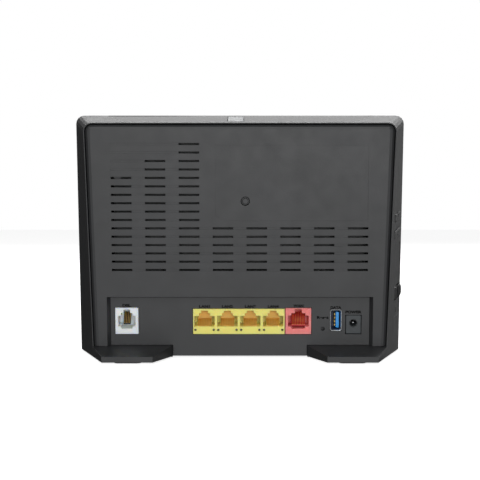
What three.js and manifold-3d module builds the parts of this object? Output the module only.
// A desktop wireless router that stands upright, seen from its connector side.
//
// Millimetres. The standing frame has +Z up, -Y towards the connectors and +X to the right of
// someone who looks at the connectors. The body leans back over its connectors, so everything
// except the rubber pads and the bottom screws is drawn in the body's own leaned frame: X across,
// Y from the rear panel's plane (0) towards the front, Z up the rear panel. In that frame the
// underside is a slope that meets the floor.

import * as THREE from 'three';
import { mergeVertices } from 'three/addons/utils/BufferGeometryUtils.js';
import Module from 'manifold-3d';

// ---------------------------------------------------------------- driving dimensions

// Body outline
const BODY_WIDTH = 206.4; // across the front rim, at its top
const BODY_HEIGHT = 150; // up the front rim
const RIM_DEPTH = 41.9; // rear panel's plane to the front rim
const LEAN = THREE.MathUtils.degToRad(6.2);
const RIM_TAPER = 1; // each side, how much narrower the rim is at the bottom
const FLARE_TOP = 9.2; // each side, how much narrower the rear is than the rim, at the top
const FLARE_BOTTOM = 12.4; // the same at the bottom
const TOP_RISE = 2.2; // how much lower the rear is than the rim
const CORNER_RADIUS = 5;
const MIN_RADIUS = 0.8;
const LOFT_STEPS = 4; // rings between the rear panel's plane and the rim
const SIDE_STEPS = 3; // straight pieces up each side of a ring
const CORNER_STEPS = 4;

// Walls and clearances
const WALL = 2.2; // housing
const COVER_WALL = 2.2; // rear cover and port panel
const GAP = 0.3; // between pieces that meet
const LIP_WALL = 0.9; // housing's thin edge round the rear cover
const LIP_SETBACK = 0.4; // how far that edge stays behind the rear panel's plane
const LIP_TIP = 0.3; // thickness at the very edge, which is chamfered on its inside
const LIP_CHAMFER = 1.6; // depth of that chamfer

// Rear cover
const PANEL_ROUND = 2.6; // radius of the cover's outer edge
const COVER_SKIRT = 2; // thickness of the cover's side walls
const BAY_SIDE = 8.6; // from the body's side to the connector bay, at the bottom
const BAY_TOP = 41.9;
const BAY_DEPTH = 3.9;
const BAY_DRAFT = 1.95;

// Vent slots: shallow channels, with slots cut through their floors
const SLOT_LENGTH = 12.4;
const SLOT_HEIGHT = 1.25;
const SLOT_PITCH_X = 20.44;
const SLOT_PITCH_Z = 5.1;
const VENT_SIDE = 16.2; // from the body's side to the first slot, at the rear panel's top
const VENT_TOP = 12.7; // from the rear's top edge to the first row
const VENT_FOOT = 15; // lowest row above the connector bay
const CHANNEL_DEPTH = 0.35;
const CHANNEL_MARGIN = 0.1; // a channel is this much higher than its slots, above and below
const SHORT_ROWS = [2, 2, 1, 1]; // columns left out of the first rows
const SIDE_COLUMNS = 3; // columns beside the label recess

// Label recess
const LABEL_TOP = 13.25; // below the rear's top edge
const LABEL_HEIGHT = 45.95;
const LABEL_LEFT_GAP = 9.55; // from the last slot beside it
const LABEL_RIGHT_GAP = 0.5; // from the last column's right end
const LABEL_DEPTH = 0.3;
const LABEL_CHAMFER = [5, 3.5];

// Feet and rubber pads
const FOOT_REACH = 27.3; // behind the rear panel's plane
const FOOT_TOP = 11;
const FOOT_TIP_WIDTH = 30.4;
const FOOT_ROOT_WIDTH = 48.4;
const PAD = { length: 16, width: 8, height: 1.6, proud: 0.8, corner: 2.5 };
const PAD_REAR_REACH = 21; // of the rear pads' middle behind the panel's plane
const PAD_FRONT_DEPTH = 29.5;
const PAD_SIDE = 24; // from the body's side to a front pad's middle

// Front cover
const FRONT_DEPTH = 7;
const FRONT_WALL = 2.4;
const FRONT_ROUND = 4.5;
const FRONT_SKIRT = 1.6;
const SKIRT_REACH = 5; // how far the skirt goes into the housing
const TONGUE_REAR = 7; // the tongue over the top starts this far from the rear panel's plane
const TONGUE_NARROW = 26.5; // from the body's side to the tongue's rear corner
const TONGUE_SLANT = 0.37; // growth of the tongue's half width per millimetre forward
const TONGUE_THICK = 1;
const TONGUE_SINK = 0.2;
const GROOVE = { height: 52, depth: 0.6, half: 1.6 }; // styling groove across the front
const BOSS = { half: 4, top: 14 }; // each takes a bottom screw
const FRONT_POST_RADIUS = 3.8; // takes the rear cover's centre screw
const STRIP = { half: 42, height: 4.4, middle: 26.5 }; // status window across the front
const LAMP_COUNT = 7;
const GUIDE = { radius: 1.1, bar: [34, 36], barHeight: 1.6, barEnd: 2 };

// Top status window
const LENS_X = -2.6;
const LENS_HALF = 4.8;
const LENS_REAR = 11;
const LENS_FRONT = 37;
const PIPE = { half: 2, depth: 3, overlap: 6 }; // light pipe from the board up to the window

// Connectors, measured from the connector bay's side and from the body's base
const JACK_PROUD = 0.3;
const JACK_FLOOR = 18.1; // underside of the network jacks
const POCKET_DEPTH = 12.6;
const DSL = { fromBay: 11.75, width: 14.2, height: 16.4, base: 3.3, wires: 4 };
const DSL_STEPS = [[3.4, 1.4], [5.2, 8], [3.4, 9.8], [2, 11.9]];
const LAN = { ports: 4, pitch: 14.05, height: 15.7, base: 4.7, wires: 8 };
const LAN_LAMP = { x: 5.6, z: 2.6, radius: 0.75, depth: 2 }; // two lamp holes under each port
const LAN_STEPS = [[6.2, 6.6], [3.25, 8.35], [2.1, 9.9]];
const WAN = { width: 15.8, height: 16.1, base: 3.3, wires: 8 };
const WAN_STEPS = [[4.1, 1.3], [6.3, 8.2], [4.3, 9.7], [2.1, 12.2]];
const WIRE_PITCH = 1.02;
const WIRE_WIDTH = 0.45;
const COMB = { width: 9, depth: 1.3, low: 0.5, high: 1.7 }; // bar that holds a jack's wires
const WIRE = { root: 0.8, low: 0.7, high: 1.3, tip: 5.9, tipLow: 3.1, tipHigh: 3.6, bend: 5.6 };
const STEP_LIFT = 1.2; // wires of a jack with a lower step start this much higher
const DC = { fromBay: 11.6, width: 9.4, height: 11.5, middle: 24 };
const DC_HOLE = { x: -0.1, z: 1, radius: 2.15, depth: 11.5 };
const DC_PIN = { radius: 0.85, setback: 1.6 };
const USB = { fromDc: 10.8, width: 6.4, height: 12.6, middle: 26.8, corner: 0.8, sheet: 0.4 };
const USB_TONGUE = { thick: 2, height: 9.8, offset: 1, setback: 1.2 };
const USB_FINGER = { thick: 0.5, width: 1.1, pitch: 2.2, setback: 2.2, margin: 0.8, root: 2 };
const PINHOLE = { fromUsb: 8, height: 21.4, radius: 1.3 };
const WAN_FROM_PINHOLE = 7.1; // from the pinhole to the WAN jack's side
const LAN_FROM_WAN = 0.5;

// Buttons
const BUTTON_PROUD = 0.5;
const FLANGE = 1.2; // of a button, behind the wall, both round it and in thickness
const WIFI_BUTTON = { name: 'wifi', from: 11, to: 33, middle: 88.6, height: 4.9, corner: 1.2, travel: 0.8 };
const WPS_BUTTON = { name: 'wps', from: 11, to: 33, middle: 78.2, height: 4.9, corner: 1.2, travel: 0.8 };
const POWER_BUTTON = { name: 'power', from: 21, to: 38.4, middle: 39.9, height: 8.4, corner: 1, travel: 2 };
const STEM = { depth: 4, height: 3, lift: 1 }; // a button's stem, lifted off the board's plane
const SWITCH_OVERHANG = 4; // of the side switches past the board's edge
const SWITCH_MARGIN = 0.4; // left between a pressed stem and its switch
const POWER_RECESS = { from: 20, to: 39.5, low: 24.6, high: 70.8, depth: 0.3 };
const RESET = { travel: 0.5, radius: 1.6, setback: 1.2, switchDeep: 3.6, switchWide: 6 };

// Circuit board and what it carries
const BOARD_BACK = 19; // board's connector side, from the rear panel's plane
const BOARD_THICK = 1.6;
const BOARD_SIDE = 12; // from the body's side, at the bottom of the rear
const BOARD_LOW = 14;
const BOARD_TOP_GAP = 11; // below the rear's top edge
const POST = { side: 16, low: 52, fromTop: 20, radius: 3.2, screw: 1.1 };
const BOARD_SCREW = { head: 2.6, tall: 2.2, reach: 7 };
const COVER_POST = { x: 3.2, height: 100.6, radius: 4.8 };

// Centre screw of the rear cover, and its plug
const SCREW_BORE = 2.8;
const SCREW_SEAT = 9.5;
const PLUG = { neck: 1.7, setback: 0.1, shoulder: 1.3, aboveSeat: 3.4 };
const SCREW_HEAD = 2.4;
const SCREW_SHANK = 1.2;
const SCREW_REACH = 14; // of the screw past its seat, into the front cover's post
const SCREW_CLEARANCE = 4; // left open beyond a screw's end

// ---------------------------------------------------------------- solids

const wasm = await Module();
wasm.setup();

// The closed three.js geometry as a solid that can be joined and cut.
function solidOf(geometry) {
  const bare = geometry.clone();
  bare.deleteAttribute('normal');
  bare.deleteAttribute('uv');
  const merged = mergeVertices(bare, 1e-4);
  return new wasm.Manifold(new wasm.Mesh({
    numProp: 3,
    vertProperties: new Float32Array(merged.getAttribute('position').array),
    triVerts: new Uint32Array(merged.getIndex().array),
  }));
}

// The solid as a three.js geometry again.
function geometryOf(solid) {
  const { vertProperties, triVerts } = solid.getMesh();
  const geometry = new THREE.BufferGeometry();
  geometry.setAttribute('position', new THREE.BufferAttribute(vertProperties, 3));
  geometry.setIndex(new THREE.BufferAttribute(triVerts, 1));
  geometry.computeVertexNormals();
  return geometry;
}

const joined = (solids) => solids.reduce((whole, next) => whole.add(next));
const without = (solid, cutters) => cutters.reduce((rest, cutter) => rest.subtract(cutter), solid);

function block([x0, x1], [y0, y1], [z0, z1]) {
  const box = new THREE.BoxGeometry(x1 - x0, y1 - y0, z1 - z0);
  return solidOf(box.translate((x0 + x1) / 2, (y0 + y1) / 2, (z0 + z1) / 2));
}

// Turns a drawing in the local XY plane, extruded along local Z, so that it runs along an axis.
// Along x the drawing is in (y, z), along y it is in (x, z), and along z it is in (x, y).
const X = new THREE.Vector3(1, 0, 0);
const Y = new THREE.Vector3(0, 1, 0);
const Z = new THREE.Vector3(0, 0, 1);
const TURN = {
  x: new THREE.Matrix4().makeBasis(Y, Z, X),
  y: new THREE.Matrix4().makeBasis(X, Z, Y.clone().negate()),
  z: new THREE.Matrix4(),
};

function prism(axis, shape, from, to) {
  const options = { depth: to - from, bevelEnabled: false, curveSegments: 2 };
  const geometry = new THREE.ExtrudeGeometry(shape, options);
  geometry.applyMatrix4(TURN[axis]);
  const start = axis === 'y' ? to : from; // along y the extrusion runs backwards
  const shift = { x: X, y: Y, z: Z }[axis].clone().multiplyScalar(start);
  return solidOf(geometry.translate(shift.x, shift.y, shift.z));
}

function rod(axis, [a, b], radius, from, to, sides = 20) {
  const geometry = new THREE.CylinderGeometry(radius, radius, to - from, sides);
  const middle = (from + to) / 2;
  if (axis === 'x') geometry.rotateZ(-Math.PI / 2).translate(middle, a, b);
  if (axis === 'y') geometry.translate(a, middle, b);
  if (axis === 'z') geometry.rotateX(Math.PI / 2).translate(a, b, middle);
  return solidOf(geometry);
}

function roundedRect(a, b, width, height, radius) {
  const shape = new THREE.Shape();
  const half = width / 2 - radius;
  const rise = height / 2 - radius;
  shape.absarc(a + half, b - rise, radius, -Math.PI / 2, 0);
  shape.absarc(a + half, b + rise, radius, 0, Math.PI / 2);
  shape.absarc(a - half, b + rise, radius, Math.PI / 2, Math.PI);
  shape.absarc(a - half, b - rise, radius, Math.PI, 1.5 * Math.PI);
  return shape;
}

const polygon = (points) => new THREE.Shape(points.map(([a, b]) => new THREE.Vector2(a, b)));

// A closed solid through rings of matching points, listed from the rear forwards.
function loft(rings) {
  const last = rings.length - 1;
  const base = rings[last].points;
  const geometry = new THREE.ExtrudeGeometry(new THREE.Shape(base), {
    depth: last,
    steps: last,
    bevelEnabled: false,
  });
  const position = geometry.getAttribute('position');
  for (let v = 0; v < position.count; v += 1) {
    const corner = new THREE.Vector2(position.getX(v), position.getY(v));
    const distances = base.map((point) => point.distanceTo(corner));
    const ring = rings[last - Math.round(position.getZ(v))];
    const { x, y } = ring.points[distances.indexOf(Math.min(...distances))];
    position.setXYZ(v, x, ring.y, y);
  }
  return solidOf(geometry);
}

// ---------------------------------------------------------------- the body's outer form

const flareAt = (z) => FLARE_BOTTOM + ((FLARE_TOP - FLARE_BOTTOM) * z) / BODY_HEIGHT;
const rimHalfAt = (z) => BODY_WIDTH / 2 - RIM_TAPER * (1 - z / BODY_HEIGHT);
const halfWidth = (y, z) => rimHalfAt(z) - flareAt(z) * (1 - y / RIM_DEPTH);
const topAt = (y) => BODY_HEIGHT - TOP_RISE * (1 - y / RIM_DEPTH);
const undersideAt = (y) => (RIM_DEPTH - y) * Math.tan(LEAN);

// The body's outline at depth y, drawn in by `inset`, with its foot `lift` above the underside.
function sectionAt(y, inset, lift = inset) {
  const radius = Math.max(CORNER_RADIUS - inset, MIN_RADIUS);
  const shoulder = topAt(y) - inset - radius;
  const low = undersideAt(y) + lift;
  const right = [];
  for (let step = 0; step <= SIDE_STEPS; step += 1) {
    const z = low + ((shoulder - low) * step) / SIDE_STEPS;
    right.push(new THREE.Vector2(halfWidth(y, z) - inset, z));
  }
  const middle = halfWidth(y, shoulder) - inset - radius;
  for (let step = 1; step <= CORNER_STEPS; step += 1) {
    const turn = (Math.PI / 2) * (step / CORNER_STEPS);
    right.push(new THREE.Vector2(middle + radius * Math.cos(turn), shoulder + radius * Math.sin(turn)));
  }
  const left = right.map((point) => new THREE.Vector2(-point.x, point.y)).reverse();
  return [...right, ...left];
}

// The body's outer form between two depths, drawn in by `inset`.
function bodySolid(inset, from, to, lift = inset) {
  const step = RIM_DEPTH / LOFT_STEPS;
  const stations = [from];
  for (let n = Math.floor(from / step) + 1; n * step < to - MIN_RADIUS; n += 1) {
    if (n * step > from + MIN_RADIUS) stations.push(n * step);
  }
  stations.push(to);
  return loft(stations.map((y) => ({ y, points: sectionAt(y, inset, lift) })));
}

const REAR_TOP = topAt(0);
const REAR_BOTTOM_HALF = halfWidth(0, 0);
const REAR_TOP_HALF = halfWidth(0, BODY_HEIGHT);
const PORT_BACK = BAY_DEPTH + COVER_WALL; // back of the port panel
const REBATE_DEPTH = PORT_BACK + GAP;
const COVER_INSET = LIP_WALL + GAP;
const FRONT_START = RIM_DEPTH + GAP;
const FRONT_FACE = FRONT_START + FRONT_DEPTH;
const BAY_HALF = REAR_BOTTOM_HALF - BAY_SIDE;
const JACK_FACE = BAY_DEPTH - JACK_PROUD;
const JACK_BACK = BOARD_BACK - GAP;
const BOARD_FRONT = BOARD_BACK + BOARD_THICK;

// The leaned body stands on its rim's lower edge and its feet, a pad's height off the floor.
const body = new THREE.Group();
body.rotation.x = LEAN;
body.position.z = PAD.proud - RIM_DEPTH * Math.sin(LEAN);
body.updateMatrix();
const toBody = body.matrix.clone().invert();

// A solid drawn in the standing frame, as the body's frame sees it.
const leaned = (solid) => solidOf(geometryOf(solid).applyMatrix4(toBody));

// Where a point of the underside at depth y lies along the standing frame's Y.
const standingY = (y) => y * Math.cos(LEAN) - undersideAt(y) * Math.sin(LEAN);

// ---------------------------------------------------------------- assembly and finishes

const FINISHES = {
  shell: { color: 0x3b3c3d, roughness: 0.55, metalness: 0 },
  gloss: { color: 0x0c0c0e, roughness: 0.12, metalness: 0 },
  keys: { color: 0x414243, roughness: 0.5, metalness: 0 },
  rubber: { color: 0x1b1b1b, roughness: 0.9, metalness: 0 },
  smoked: { color: 0x1a1c20, roughness: 0.1, metalness: 0 },
  clear: { color: 0xdfe3e6, roughness: 0.25, metalness: 0 },
  white: { color: 0xe6ecec, roughness: 0.45, metalness: 0 },
  yellow: { color: 0xf3e27a, roughness: 0.45, metalness: 0 },
  red: { color: 0xe2625f, roughness: 0.45, metalness: 0 },
  blue: { color: 0x2f8fd8, roughness: 0.4, metalness: 0 },
  black: { color: 0x232527, roughness: 0.5, metalness: 0 },
  steel: { color: 0xb9bcbe, roughness: 0.3, metalness: 1 },
  gold: { color: 0xd8a845, roughness: 0.25, metalness: 1 },
  aluminium: { color: 0xa7abae, roughness: 0.4, metalness: 1 },
  laminate: { color: 0x1f5a35, roughness: 0.5, metalness: 0 },
};

const router = new THREE.Group();
router.add(body);

function place(name, finish, solid, group = body) {
  const mesh = new THREE.Mesh(geometryOf(solid), new THREE.MeshStandardMaterial(FINISHES[finish]));
  mesh.name = name;
  group.add(mesh);
}

// ---------------------------------------------------------------- where the connectors are

const bottomUp = (height) => [JACK_FLOOR, JACK_FLOOR + height];
const around = (middle, width) => [middle - width / 2, middle + width / 2];
const grown = ([low, high], by) => [low - by, high + by];

const dslX = -BAY_HALF + DSL.fromBay;
const dcX = BAY_HALF - DC.fromBay;
const usbX = dcX - USB.fromDc;
const pinholeX = usbX - PINHOLE.fromUsb;
const wanX = pinholeX - WAN_FROM_PINHOLE - WAN.width / 2;
const lanWidth = LAN.ports * LAN.pitch;
const lanX = wanX - WAN.width / 2 - LAN_FROM_WAN - lanWidth / 2;
const lanPortX = (port) => lanX + (port - (LAN.ports - 1) / 2) * LAN.pitch;

const JACK_FACES = [
  [around(dslX, DSL.width), bottomUp(DSL.height)],
  [around(lanX, lanWidth), bottomUp(LAN.height)],
  [around(wanX, WAN.width), bottomUp(WAN.height)],
  [around(usbX, USB.width), around(USB.middle, USB.height)],
  [around(dcX, DC.width), around(DC.middle, DC.height)],
];

// ---------------------------------------------------------------- feet, pads and housing

const footOuterTip = halfWidth(-FOOT_REACH, FOOT_TOP);
const footInnerTip = footOuterTip - FOOT_TIP_WIDTH;
const footInnerRoot = REAR_BOTTOM_HALF - FOOT_ROOT_WIDTH;
const footEnd = REBATE_DEPTH + WALL;

function footSolid(side) {
  const plan = polygon([
    [side * footInnerTip, -FOOT_REACH],
    [side * BODY_WIDTH, -FOOT_REACH],
    [side * BODY_WIDTH, footEnd],
    [side * footInnerRoot, footEnd],
    [side * footInnerRoot, BAY_DEPTH],
  ]);
  return prism('z', plan, -BODY_HEIGHT, FOOT_TOP).intersect(bodySolid(0, -FOOT_REACH, footEnd, 0));
}

const frontPadX = BODY_WIDTH / 2 - PAD_SIDE;
const rearPadX = (footOuterTip + footInnerTip) / 2;
const PADS = [
  ['pad_rear_left', -rearPadX, standingY(-PAD_REAR_REACH)],
  ['pad_rear_right', rearPadX, standingY(-PAD_REAR_REACH)],
  ['pad_front_left', -frontPadX, standingY(PAD_FRONT_DEPTH)],
  ['pad_front_right', frontPadX, standingY(PAD_FRONT_DEPTH)],
];

function padSolid(x, y, growth, from, to) {
  const length = PAD.length + 2 * growth;
  const width = PAD.width + 2 * growth;
  return prism('z', roundedRect(x, y, length, width, PAD.corner + growth), from, to);
}

const BOTTOM_SCREW = { x: 52, depth: 38.4, head: 2.6, seat: 1.2, shank: 1.2, length: 8 };
const BOTTOM_SCREWS = [
  ['bottom_screw_left', -BOTTOM_SCREW.x],
  ['bottom_screw_right', BOTTOM_SCREW.x],
];
const bottomScrewY = standingY(BOTTOM_SCREW.depth);
const bottomScrewSeat = PAD.proud + BOTTOM_SCREW.seat;
const bottomScrewRoom = BOTTOM_SCREW.length + SCREW_CLEARANCE;

const tongueHalfAt = (y) => BODY_WIDTH / 2 - FLARE_TOP - TONGUE_NARROW + TONGUE_SLANT * y;

// The tongue's outline seen from above, drawn out by `growth`.
function tongueOutline(growth, front) {
  const rear = TONGUE_REAR - growth;
  return polygon([
    [-tongueHalfAt(rear) - growth, rear],
    [tongueHalfAt(rear) + growth, rear],
    [tongueHalfAt(front) + growth, front],
    [-tongueHalfAt(front) - growth, front],
  ]);
}

function lensBlock(growth, low) {
  const lensX = grown(around(LENS_X, 2 * LENS_HALF), growth);
  const lensY = grown([LENS_REAR, LENS_FRONT], growth);
  return block(lensX, lensY, [low, BODY_HEIGHT + WALL]);
}

function buttonOutline(button, growth) {
  return roundedRect(
    (button.from + button.to) / 2,
    button.middle,
    button.to - button.from + 2 * growth,
    button.height + 2 * growth,
    button.corner + growth,
  );
}

const SIDE_BUTTONS = [WIFI_BUTTON, WPS_BUTTON, POWER_BUTTON];

// What the lip's chamfer takes away: a form that narrows from the lip's tip to its full wall.
function lipChamfer() {
  const depths = [LIP_SETBACK - GAP, LIP_SETBACK + LIP_CHAMFER];
  const insets = [LIP_TIP, LIP_WALL + GAP / 2];
  return loft(depths.map((y, ring) => ({ y, points: sectionAt(y, insets[ring]) })));
}

function makeHousing() {
  const tunnel = bodySolid(WALL, REBATE_DEPTH, RIM_DEPTH + GAP);
  const rebate = bodySolid(LIP_WALL, -GAP, REBATE_DEPTH, LIP_WALL);
  const tabWay = block([-footInnerRoot, footInnerRoot], [-GAP, REBATE_DEPTH], [-BODY_HEIGHT, FOOT_TOP]);
  const ring = without(bodySolid(0, LIP_SETBACK, RIM_DEPTH), [tunnel, rebate, tabWay, lipChamfer()]);
  const pocketFloor = bodySolid(TONGUE_SINK + TONGUE_THICK + GAP, -GAP, FRONT_FACE);
  const pocketOutline = tongueOutline(GAP, FRONT_FACE);
  const pocket = prism('z', pocketOutline, BODY_HEIGHT / 2, 2 * BODY_HEIGHT).subtract(pocketFloor);
  const recess = POWER_RECESS;
  const recessOutline = roundedRect(
    (recess.from + recess.to) / 2,
    (recess.low + recess.high) / 2,
    recess.to - recess.from,
    recess.high - recess.low,
    WALL,
  );
  const sideRecess = prism('x', recessOutline, BAY_HALF, BODY_WIDTH)
    .subtract(bodySolid(recess.depth, 0, FRONT_FACE));
  const buttonHoles = SIDE_BUTTONS.map((button) =>
    prism('x', buttonOutline(button, GAP), BAY_HALF, BODY_WIDTH));
  const padPockets = PADS.map(([, x, y]) => leaned(padSolid(x, y, GAP, -PAD.height, PAD.height + GAP)));
  const screwHoles = BOTTOM_SCREWS.flatMap(([, x]) => [
    leaned(rod('z', [x, bottomScrewY], BOTTOM_SCREW.shank + GAP, -WALL, BODY_HEIGHT / 4, 16)),
    leaned(rod('z', [x, bottomScrewY], BOTTOM_SCREW.head + GAP, -WALL, bottomScrewSeat + GAP, 16)),
  ]);
  const whole = joined([ring, footSolid(-1), footSolid(1)]);
  return without(whole, [
    pocket,
    sideRecess,
    lensBlock(GAP, BODY_HEIGHT / 2),
    ...buttonHoles,
    ...padPockets,
    ...screwHoles,
  ]);
}

place('housing', 'shell', makeHousing());

for (const [name, x, y] of PADS) {
  place(name, 'rubber', padSolid(x, y, 0, 0, PAD.height), router);
}

for (const [name, x] of BOTTOM_SCREWS) {
  const head = rod('z', [x, bottomScrewY], BOTTOM_SCREW.head, PAD.proud, bottomScrewSeat, 16);
  const shankZ = [PAD.proud, PAD.proud + BOTTOM_SCREW.length];
  const shank = rod('z', [x, bottomScrewY], BOTTOM_SCREW.shank, ...shankZ, 12);
  place(name, 'steel', head.add(shank), router);
}

// ---------------------------------------------------------------- rear cover

const boardHalf = REAR_BOTTOM_HALF - BOARD_SIDE;
const boardTop = REAR_TOP - BOARD_TOP_GAP;
const postX = REAR_BOTTOM_HALF - POST.side;
const POSTS = [
  [-postX, POST.low],
  [postX, POST.low],
  [-postX, boardTop - POST.fromTop],
  [postX, boardTop - POST.fromTop],
];

const ventLeft = -(REAR_TOP_HALF - VENT_SIDE);
const ventRight = -ventLeft;
const columnCount = Math.floor((ventRight - ventLeft - SLOT_LENGTH) / SLOT_PITCH_X) + 1;
const labelLeft = ventLeft + (SIDE_COLUMNS - 1) * SLOT_PITCH_X + SLOT_LENGTH + LABEL_LEFT_GAP;
const labelTop = REAR_TOP - LABEL_TOP;
const labelBottom = labelTop - LABEL_HEIGHT;

// Every vent row: its middle height, and its first and last columns.
function ventRows() {
  const rows = [];
  for (let z = REAR_TOP - VENT_TOP; z > BAY_TOP + VENT_FOOT; z -= SLOT_PITCH_Z) {
    const besideLabel = z > labelBottom - SLOT_PITCH_Z / 2;
    const first = SHORT_ROWS[rows.length] ?? 0;
    rows.push({ z, first, last: (besideLabel ? SIDE_COLUMNS : columnCount) - 1 });
  }
  return rows;
}

function ventCutters() {
  const cutters = [];
  for (const { z, first, last } of ventRows()) {
    const band = [z - SLOT_HEIGHT / 2, z + SLOT_HEIGHT / 2];
    const slotAt = (column) => ventLeft + column * SLOT_PITCH_X;
    const channelX = [ventLeft, slotAt(last) + SLOT_LENGTH];
    cutters.push(block(channelX, [-GAP, CHANNEL_DEPTH], grown(band, CHANNEL_MARGIN)));
    for (let column = first; column <= last; column += 1) {
      const slotX = [slotAt(column), slotAt(column) + SLOT_LENGTH];
      cutters.push(block(slotX, [-GAP, COVER_WALL + GAP], band));
    }
  }
  return cutters;
}

function makeRearCover() {
  const roundRings = [0, 0.35, 0.7].map((share) => {
    const turn = (Math.PI / 2) * share;
    const y = PANEL_ROUND * (1 - Math.cos(turn));
    return { y, points: sectionAt(y, COVER_INSET + PANEL_ROUND * (1 - Math.sin(turn)), GAP) };
  });
  const sideRings = [PANEL_ROUND, PORT_BACK].map((y) => ({ y, points: sectionAt(y, COVER_INSET, GAP) }));
  const outer = loft([...roundRings, ...sideRings]);
  const hollow = bodySolid(COVER_INSET + COVER_SKIRT, COVER_WALL, PORT_BACK + GAP);
  const bayCapX = [-BAY_HALF - COVER_WALL, BAY_HALF + COVER_WALL];
  const bayCap = block(bayCapX, [COVER_WALL / 2, PORT_BACK], [0, BAY_TOP + COVER_WALL]);
  const bayRing = (y, draft) => ({
    y,
    points: [
      [-BAY_HALF + draft, -BAY_TOP],
      [BAY_HALF - draft, -BAY_TOP],
      [BAY_HALF - draft, BAY_TOP - draft / 2],
      [-BAY_HALF + draft, BAY_TOP - draft / 2],
    ].map(([x, z]) => new THREE.Vector2(x, z)),
  });
  const bay = loft([bayRing(-GAP, 0), bayRing(0, 0), bayRing(BAY_DEPTH, BAY_DRAFT)]);
  const label = polygon([
    [labelLeft + LABEL_CHAMFER[0], labelBottom],
    [ventRight - LABEL_RIGHT_GAP, labelBottom],
    [ventRight - LABEL_RIGHT_GAP, labelTop],
    [labelLeft, labelTop],
    [labelLeft, labelBottom + LABEL_CHAMFER[1]],
  ]);
  const posts = POSTS.map((at) => rod('y', at, POST.radius, COVER_WALL / 2, BOARD_BACK - GAP, 12));
  const centre = [COVER_POST.x, COVER_POST.height];
  const centrePost = rod('y', centre, COVER_POST.radius, COVER_WALL / 2, SCREW_SEAT + COVER_WALL);
  const footWays = [-1, 1].map((side) => {
    const span = [footInnerRoot - GAP, BODY_WIDTH].map((x) => side * x).sort((a, b) => a - b);
    return block(span, [-BODY_WIDTH, REBATE_DEPTH + GAP], [-BODY_HEIGHT, FOOT_TOP + GAP]);
  });
  const shell = outer.subtract(hollow).add(bayCap.intersect(outer));
  return without(joined([shell, ...posts, centrePost]), [
    bay,
    prism('y', label, -GAP, LABEL_DEPTH),
    ...ventCutters(),
    ...JACK_FACES.map(([x, z]) => block(grown(x, GAP), [0, PORT_BACK + GAP], grown(z, GAP))),
    rod('y', [pinholeX, PINHOLE.height], PINHOLE.radius, 0, PORT_BACK + GAP),
    ...POSTS.map((at) => rod('y', at, POST.screw + GAP, BOARD_BACK / 2, BOARD_BACK, 10)),
    rod('y', centre, SCREW_BORE, -GAP, SCREW_SEAT),
    rod('y', centre, SCREW_SHANK + GAP, SCREW_SEAT - GAP, SCREW_SEAT + 2 * COVER_WALL),
    ...footWays,
  ]);
}

place('rear_cover', 'shell', makeRearCover());

const coverScrewAt = [COVER_POST.x, COVER_POST.height];
const plugEnd = SCREW_SEAT - PLUG.aboveSeat;
const plugNeck = rod('y', coverScrewAt, PLUG.neck, PLUG.setback, plugEnd);
const plugBody = rod('y', coverScrewAt, SCREW_BORE - GAP, PLUG.shoulder, plugEnd);
place('screw_plug', 'shell', plugNeck.add(plugBody));

const centreHead = rod('y', coverScrewAt, SCREW_HEAD, plugEnd + GAP, SCREW_SEAT - GAP, 16);
const centreShank = rod('y', coverScrewAt, SCREW_SHANK, SCREW_SEAT - 1, SCREW_SEAT + SCREW_REACH, 12);
place('cover_screw', 'steel', centreHead.add(centreShank));

// ---------------------------------------------------------------- front cover

// The front cover keeps the rim's outline and rounds in towards its face.
function frontRing(y, inset) {
  const points = sectionAt(RIM_DEPTH, inset, inset);
  return { y, points };
}

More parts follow.
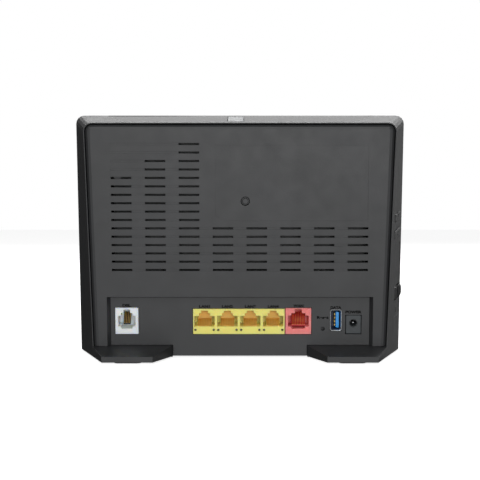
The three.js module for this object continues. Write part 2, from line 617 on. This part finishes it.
function makeFrontCover() {
  const straight = FRONT_FACE - FRONT_ROUND;
  const roundRings = [0.25, 0.5, 0.75, 1].map((share) => {
    const turn = (Math.PI / 2) * share;
    return frontRing(straight + FRONT_ROUND * Math.sin(turn), FRONT_ROUND * (1 - Math.cos(turn)));
  });
  const outer = loft([frontRing(FRONT_START, 0), frontRing(straight, 0), ...roundRings]);
  const skirtInset = WALL + GAP;
  const cavityInset = skirtInset + FRONT_SKIRT;
  const cavityDepths = [FRONT_START - GAP, FRONT_FACE - FRONT_WALL];
  const cavity = loft(cavityDepths.map((y) => frontRing(y, cavityInset)));
  const skirtStart = RIM_DEPTH - SKIRT_REACH;
  const skirt = bodySolid(skirtInset, skirtStart, FRONT_START + WALL)
    .subtract(bodySolid(cavityInset, skirtStart - GAP, FRONT_START + 2 * WALL));
  const skirtNotch = block(
    [BAY_HALF, BODY_WIDTH],
    [skirtStart - GAP, FRONT_START - GAP / 2],
    grown(around(POWER_BUTTON.middle, POWER_BUTTON.height), FLANGE + 2 * GAP),
  );
  const tongueTop = bodySolid(TONGUE_SINK, 0, FRONT_START + WALL);
  const tongueUnder = bodySolid(TONGUE_SINK + TONGUE_THICK, -GAP, FRONT_FACE);
  const tongue = prism('z', tongueOutline(0, FRONT_START + WALL), BODY_HEIGHT / 2, 2 * BODY_HEIGHT)
    .intersect(tongueTop)
    .subtract(tongueUnder);
  const insideFace = FRONT_FACE - FRONT_WALL / 2;
  const postStart = SCREW_SEAT + COVER_WALL + GAP;
  const centrePost = rod('y', coverScrewAt, FRONT_POST_RADIUS, postStart, insideFace, 14);
  const bossStart = BOTTOM_SCREW.depth - BOSS.half;
  const bosses = BOTTOM_SCREWS.map(([, x]) => block(
    around(x, 2 * BOSS.half),
    [bossStart, insideFace],
    [undersideAt(bossStart) + WALL + GAP, BOSS.top],
  ));
  const styling = polygon([
    [FRONT_FACE - GROOVE.depth, GROOVE.height],
    [FRONT_FACE + 1, GROOVE.height - GROOVE.half],
    [FRONT_FACE + 1, GROOVE.height + GROOVE.half],
  ]);
  const window = block(
    grown([-STRIP.half, STRIP.half], GAP),
    [FRONT_FACE - 2 * FRONT_WALL, FRONT_FACE + GAP],
    grown(around(STRIP.middle, STRIP.height), GAP),
  );
  const shell = outer.subtract(cavity).add(skirt.subtract(skirtNotch));
  return without(joined([shell, tongue, centrePost, ...bosses]), [
    prism('x', styling, -BODY_WIDTH, BODY_WIDTH),
    window,
    lensBlock(GAP, BODY_HEIGHT / 2),
    rod('y', coverScrewAt, SCREW_SHANK + GAP, SCREW_SEAT, SCREW_SEAT + SCREW_REACH + SCREW_CLEARANCE, 12),
    ...BOTTOM_SCREWS.map(([, x]) =>
      leaned(rod('z', [x, bottomScrewY], BOTTOM_SCREW.shank + GAP, 0, bottomScrewRoom, 12))),
  ]);
}

place('front_cover', 'gloss', makeFrontCover());

const stripDepth = [FRONT_FACE - FRONT_WALL, FRONT_FACE];
const stripZ = around(STRIP.middle, STRIP.height);
place('status_strip', 'smoked', block([-STRIP.half, STRIP.half], stripDepth, stripZ));

// One comb of light guides carries every front lamp from the board to the window.
const lampX = (lamp) => ((lamp - (LAMP_COUNT - 1) / 2) * 2 * STRIP.half) / (LAMP_COUNT + 1);
const guideBarX = grown([lampX(0), lampX(LAMP_COUNT - 1)], GUIDE.barEnd);
const guideBar = block(guideBarX, GUIDE.bar, around(STRIP.middle, GUIDE.barHeight));
const guides = Array.from({ length: LAMP_COUNT }, (unused, lamp) =>
  rod('y', [lampX(lamp), STRIP.middle], GUIDE.radius, BOARD_FRONT + 1, stripDepth[0] - GAP, 8));
place('front_light_guide', 'clear', joined([guideBar, ...guides]));

const lensTop = bodySolid(TONGUE_SINK / 2, 0, RIM_DEPTH);
const lensUnder = bodySolid(TONGUE_SINK + TONGUE_THICK + WALL, -GAP, FRONT_FACE);
place('top_window', 'clear', lensBlock(0, BODY_HEIGHT / 2).intersect(lensTop).subtract(lensUnder));

const pipeTop = topAt(BOARD_FRONT) - TONGUE_SINK - TONGUE_THICK - WALL - GAP;
const pipeY = [BOARD_FRONT + GAP, BOARD_FRONT + PIPE.depth];
const pipeZ = [boardTop - PIPE.overlap, pipeTop - GAP];
place('top_light_pipe', 'clear', block(around(LENS_X, 2 * PIPE.half), pipeY, pipeZ));

// ---------------------------------------------------------------- connectors

// The opening of a network or telephone jack: steps of [half width, height above its base].
function jackOpening(middle, base, steps) {
  const right = [];
  let low = 0;
  for (const [half, high] of steps) {
    right.push([half, low], [half, high]);
    low = high;
  }
  const left = right.map(([half, z]) => [-half, z]).reverse();
  return polygon([...right, ...left].map(([x, z]) => [middle + x, base + z]));
}

const pocketDepth = [JACK_FACE - GAP, JACK_FACE + POCKET_DEPTH];
const openingBase = (jack) => JACK_FLOOR + jack.base;

// A row of spring wires that slope up into the opening, held by a bar at its back.
function contactComb(middle, jack, widest) {
  const base = openingBase(jack);
  const [, back] = pocketDepth;
  const barWidth = Math.min(2 * widest - 4 * GAP, COMB.width);
  const barZ = [base + COMB.low, base + COMB.high];
  const bar = block(around(middle, barWidth), [back - COMB.depth, back - GAP], barZ);
  const wires = Array.from({ length: jack.wires }, (unused, wire) => {
    const x = middle + (wire - (jack.wires - 1) / 2) * WIRE_PITCH;
    const slope = polygon([
      [back - WIRE.root, base + WIRE.low],
      [back - WIRE.root, base + WIRE.high],
      [back - WIRE.bend, base + WIRE.tipHigh],
      [back - WIRE.tip, base + WIRE.tipLow],
    ]);
    return prism('x', slope, x - WIRE_WIDTH / 2, x + WIRE_WIDTH / 2);
  });
  return joined([bar, ...wires]);
}

const dslBody = block(around(dslX, DSL.width), [JACK_FACE, JACK_BACK], bottomUp(DSL.height));
const dslPocket = prism('y', jackOpening(dslX, openingBase(DSL), DSL_STEPS), ...pocketDepth);
place('dsl_jack', 'white', dslBody.subtract(dslPocket));
place('dsl_contacts', 'gold', contactComb(dslX, { ...DSL, base: DSL.base + STEP_LIFT }, DSL_STEPS[1][0]));

function makeLanBlock() {
  const whole = block(around(lanX, lanWidth), [JACK_FACE, JACK_BACK], bottomUp(LAN.height));
  const cutters = [];
  for (let port = 0; port < LAN.ports; port += 1) {
    const middle = lanPortX(port);
    cutters.push(prism('y', jackOpening(middle, openingBase(LAN), LAN_STEPS), ...pocketDepth));
    for (const side of [-1, 1]) {
      const lamp = [middle + side * LAN_LAMP.x, JACK_FLOOR + LAN_LAMP.z];
      cutters.push(rod('y', lamp, LAN_LAMP.radius, JACK_FACE - GAP, JACK_FACE + LAN_LAMP.depth, 10));
    }
  }
  return without(whole, cutters);
}

place('lan_jack_block', 'yellow', makeLanBlock());
for (let port = 0; port < LAN.ports; port += 1) {
  place(`lan_contacts_${port + 1}`, 'gold', contactComb(lanPortX(port), LAN, LAN_STEPS[0][0]));
}

const wanBody = block(around(wanX, WAN.width), [JACK_FACE, JACK_BACK], bottomUp(WAN.height));
const wanPocket = prism('y', jackOpening(wanX, openingBase(WAN), WAN_STEPS), ...pocketDepth);
place('wan_jack', 'red', wanBody.subtract(wanPocket));
place('wan_contacts', 'gold', contactComb(wanX, { ...WAN, base: WAN.base + STEP_LIFT }, WAN_STEPS[1][0]));

const usbOuter = roundedRect(usbX, USB.middle, USB.width, USB.height, USB.corner);
const usbInnerSize = [USB.width - 2 * USB.sheet, USB.height - 2 * USB.sheet];
const usbInner = roundedRect(usbX, USB.middle, ...usbInnerSize, USB.corner / 2);
const usbBack = JACK_BACK - 1;
const usbTube = prism('y', usbOuter, JACK_FACE, JACK_BACK);
place('usb_shell', 'steel', usbTube.subtract(prism('y', usbInner, JACK_FACE - GAP, usbBack)));

const tongueX = around(usbX + USB_TONGUE.offset, USB_TONGUE.thick);
const tongueZ = around(USB.middle, USB_TONGUE.height);
place('usb_tongue', 'blue', block(tongueX, [JACK_FACE + USB_TONGUE.setback, usbBack - GAP], tongueZ));

const contactX = [tongueX[0] - GAP - USB_FINGER.thick, tongueX[0] - GAP];
const usbBarY = [usbBack - USB_FINGER.root, usbBack - GAP];
const usbBar = block(contactX, usbBarY, grown(tongueZ, -USB_FINGER.margin));
const usbFingers = [-1.5, -0.5, 0.5, 1.5].map((share) => {
  const fingerZ = around(USB.middle + share * USB_FINGER.pitch, USB_FINGER.width);
  return block(contactX, [JACK_FACE + USB_FINGER.setback, usbBack - 1], fingerZ);
});
place('usb_contacts', 'gold', joined([usbBar, ...usbFingers]));

const dcHoleAt = [dcX + DC_HOLE.x, DC.middle + DC_HOLE.z];
const dcHoleEnd = JACK_FACE + DC_HOLE.depth;
const dcBody = block(around(dcX, DC.width), [JACK_FACE, JACK_BACK], around(DC.middle, DC.height));
const dcHole = rod('y', dcHoleAt, DC_HOLE.radius, JACK_FACE - GAP, dcHoleEnd, 24);
place('dc_jack', 'black', dcBody.subtract(dcHole));
place('dc_pin', 'steel', rod('y', dcHoleAt, DC_PIN.radius, JACK_FACE + DC_PIN.setback, dcHoleEnd - GAP, 16));

// ---------------------------------------------------------------- buttons and switches

const switchFace = boardHalf + SWITCH_OVERHANG;
const switchBack = BOARD_FRONT + GAP;

// A button that slides through the right-hand wall, flanged so that it can't fall out.
function wallButton(button) {
  const flangeInset = WALL + GAP;
  const innerInset = flangeInset + FLANGE;
  const inside = bodySolid(innerInset, 0, FRONT_FACE);
  const cap = prism('x', buttonOutline(button, 0), BAY_HALF, BODY_WIDTH)
    .intersect(bodySolid(-BUTTON_PROUD, 0, FRONT_FACE))
    .subtract(inside);
  const flange = prism('x', buttonOutline(button, FLANGE), BAY_HALF, BODY_WIDTH)
    .intersect(bodySolid(flangeInset, 0, FRONT_FACE))
    .subtract(inside);
  const stemStart = switchFace + button.travel + SWITCH_MARGIN;
  const stemZ = around(button.middle, STEM.height);
  const stemY = [switchBack + STEM.lift, switchBack + STEM.lift + STEM.depth];
  const stem = block([stemStart, BODY_WIDTH], stemY, stemZ)
    .intersect(bodySolid(flangeInset + FLANGE / 2, 0, FRONT_FACE));
  return joined([cap, flange, stem]);
}

// Along X, deep, high
const SWITCH_SIZE = { wifi: [5.5, 6, 6], wps: [5.5, 6, 6], power: [9, 9, 11] };
for (const button of SIDE_BUTTONS) {
  const [along, deep, high] = SWITCH_SIZE[button.name];
  place(`${button.name}_button`, button.name === 'power' ? 'gloss' : 'keys', wallButton(button));
  place(
    `${button.name}_switch`,
    'black',
    block([switchFace - along, switchFace], [switchBack, switchBack + deep], around(button.middle, high)),
  );
}

const resetAt = [pinholeX, PINHOLE.height];
const resetSwitchStart = JACK_BACK - RESET.switchDeep;
const resetEnd = resetSwitchStart - RESET.travel - SWITCH_MARGIN;
const resetSwitchX = around(pinholeX, RESET.switchWide);
const resetSwitchZ = around(PINHOLE.height, RESET.switchWide);
place('reset_button', 'black', rod('y', resetAt, RESET.radius, PORT_BACK + RESET.setback, resetEnd, 14));
place('reset_switch', 'black', block(resetSwitchX, [resetSwitchStart, JACK_BACK], resetSwitchZ));

// ---------------------------------------------------------------- circuit board

function makeBoard() {
  const sheet = block([-boardHalf, boardHalf], [BOARD_BACK, BOARD_FRONT], [BOARD_LOW, boardTop]);
  const through = [BOARD_BACK - GAP, BOARD_FRONT + GAP];
  return without(sheet, [
    rod('y', coverScrewAt, FRONT_POST_RADIUS + 2 * GAP, ...through, 18),
    ...POSTS.map((at) => rod('y', at, POST.screw + GAP, ...through, 12)),
  ]);
}

place('main_board', 'laminate', makeBoard());

POSTS.forEach((at, index) => {
  const head = rod('y', at, BOARD_SCREW.head, BOARD_FRONT + GAP, BOARD_FRONT + BOARD_SCREW.tall, 12);
  const shank = rod('y', at, POST.screw, BOARD_BACK - BOARD_SCREW.reach, BOARD_FRONT + 1, 10);
  place(`board_screw_${index + 1}`, 'steel', head.add(shank));
});

// A part soldered to the board: middle, width and height across it, and how tall it stands.
function onFront(x, z, width, height, tall, lift = GAP) {
  return block(around(x, width), [BOARD_FRONT + lift, BOARD_FRONT + lift + tall], around(z, height));
}

function onBack(x, z, width, height, tall) {
  return block(around(x, width), [BOARD_BACK - GAP - tall, BOARD_BACK - GAP], around(z, height));
}

const SHIELD = { width: 30, height: 22, tall: 3.2, sheet: 0.5, fromTop: 22 };
const SHIELDS = [['radio_shield_left', -48], ['radio_shield_right', 44]];
const shieldZ = boardTop - SHIELD.fromTop;

// The processor sits at its own height, or lower where the radio shields come down to it.
const SINK = { size: 34, base: 2, fins: 8, finHeight: 8, finThick: 1.1 };
const CHIP = { x: -28, aboveBoard: 58, size: 17, tall: 1.6, clearance: 2, toMemory: 32 };
CHIP.z = Math.min(
  BOARD_LOW + CHIP.aboveBoard,
  shieldZ - (SHIELD.height + SINK.size) / 2 - CHIP.clearance,
);
place('processor', 'black', onFront(CHIP.x, CHIP.z, CHIP.size, CHIP.size, CHIP.tall));
const sinkLift = GAP + CHIP.tall + GAP;
const sinkFins = Array.from({ length: SINK.fins }, (unused, fin) => {
  const z = CHIP.z + (fin - (SINK.fins - 1) / 2) * ((SINK.size - SINK.finThick) / (SINK.fins - 1));
  return onFront(CHIP.x, z, SINK.size, SINK.finThick, SINK.base + SINK.finHeight, sinkLift);
});
const sinkBase = onFront(CHIP.x, CHIP.z, SINK.size, SINK.size, SINK.base, sinkLift);
place('heat_sink', 'aluminium', joined([sinkBase, ...sinkFins]));
const MEMORY = { width: 9, height: 13, tall: 1.2, below: 4 };
const FLASH = { width: 8, height: 6, tall: 1.8, below: 20 };
for (const [name, chip] of [['memory_chip', MEMORY], ['flash_chip', FLASH]]) {
  const z = CHIP.z - chip.below;
  place(name, 'black', onFront(CHIP.x + CHIP.toMemory, z, chip.width, chip.height, chip.tall));
}

for (const [name, x] of SHIELDS) {
  const outer = onFront(x, shieldZ, SHIELD.width, SHIELD.height, SHIELD.tall);
  const innerSize = [SHIELD.width, SHIELD.height].map((side) => side - 2 * SHIELD.sheet);
  const inner = onFront(x, shieldZ, ...innerSize, SHIELD.tall - SHIELD.sheet, 0);
  place(name, 'steel', outer.subtract(inner));
}

// Above the jacks, on the board's rear: middle, width, height and how tall each part stands.
const ROW_ABOVE_BAY = 10;
const rowZ = BAY_TOP + ROW_ABOVE_BAY;
const REAR_PARTS = [
  ['lan_magnetics_left', lanX - 16, 15, 9, 5.5],
  ['lan_magnetics_right', lanX + 4, 15, 9, 5.5],
  ['dsl_transformer', dslX + 16, 11, 11, 8],
  ['power_inductor', dcX - 30, 10, 10, 5],
];
for (const [name, x, width, height, tall] of REAR_PARTS) {
  place(name, 'black', onBack(x, rowZ, width, height, tall));
}

const CAPACITOR = { radius: 4, tall: 11 };
const capacitorY = [BOARD_BACK - GAP - CAPACITOR.tall, BOARD_BACK - GAP];
for (const [name, x] of [['capacitor_left', dcX - 18], ['capacitor_right', dcX - 7]]) {
  place(name, 'aluminium', rod('y', [x, rowZ], CAPACITOR.radius, ...capacitorY, 14));
}

// ---------------------------------------------------------------- antennas

const ANTENNA = { thick: 0.8, depth: 12, height: 30, fromWall: 9, rear: 24, topGap: 2, clearance: 1 };
const antennaTop = boardTop - ANTENNA.topGap;
const aboveButton = WIFI_BUTTON.middle + WIFI_BUTTON.height / 2 + FLANGE + GAP;
const antennaZ = [Math.max(antennaTop - ANTENNA.height, aboveButton + ANTENNA.clearance), antennaTop];
for (const [name, side] of [['left', -1], ['right', 1]]) {
  const outside = side * (halfWidth(ANTENNA.rear, boardTop) - ANTENNA.fromWall);
  const inside = outside - side * ANTENNA.thick;
  const plateX = [outside, inside].sort((a, b) => a - b);
  const plateY = [ANTENNA.rear, ANTENNA.rear + ANTENNA.depth];
  place(`antenna_${name}`, 'laminate', block(plateX, plateY, antennaZ));

  const shieldEdge = SHIELDS[side < 0 ? 0 : 1][1] + (side * SHIELD.width) / 2;
  const route = new THREE.CatmullRomCurve3([
    new THREE.Vector3(inside - side * 1.2, ANTENNA.rear + 3, antennaZ[0] + 6),
    new THREE.Vector3(inside - side * 5, ANTENNA.rear + 4, antennaZ[0] + 2),
    new THREE.Vector3((inside + shieldEdge) / 2, BOARD_FRONT + 3, antennaZ[0] + 4),
    new THREE.Vector3(shieldEdge + side * 1.5, BOARD_FRONT + 2, shieldZ),
  ]);
  const round = new THREE.Shape().absarc(0, 0, 0.6, 0, 2 * Math.PI);
  const lead = new THREE.ExtrudeGeometry(round, { steps: 12, curveSegments: 3, extrudePath: route });
  place(`antenna_lead_${name}`, 'rubber', solidOf(lead));
}

// The origin is the middle of the footprint, on the floor.
router.updateMatrixWorld(true);
const extent = new THREE.Box3().setFromObject(router, true);
router.position.y = -(extent.min.y + extent.max.y) / 2;

export default router;
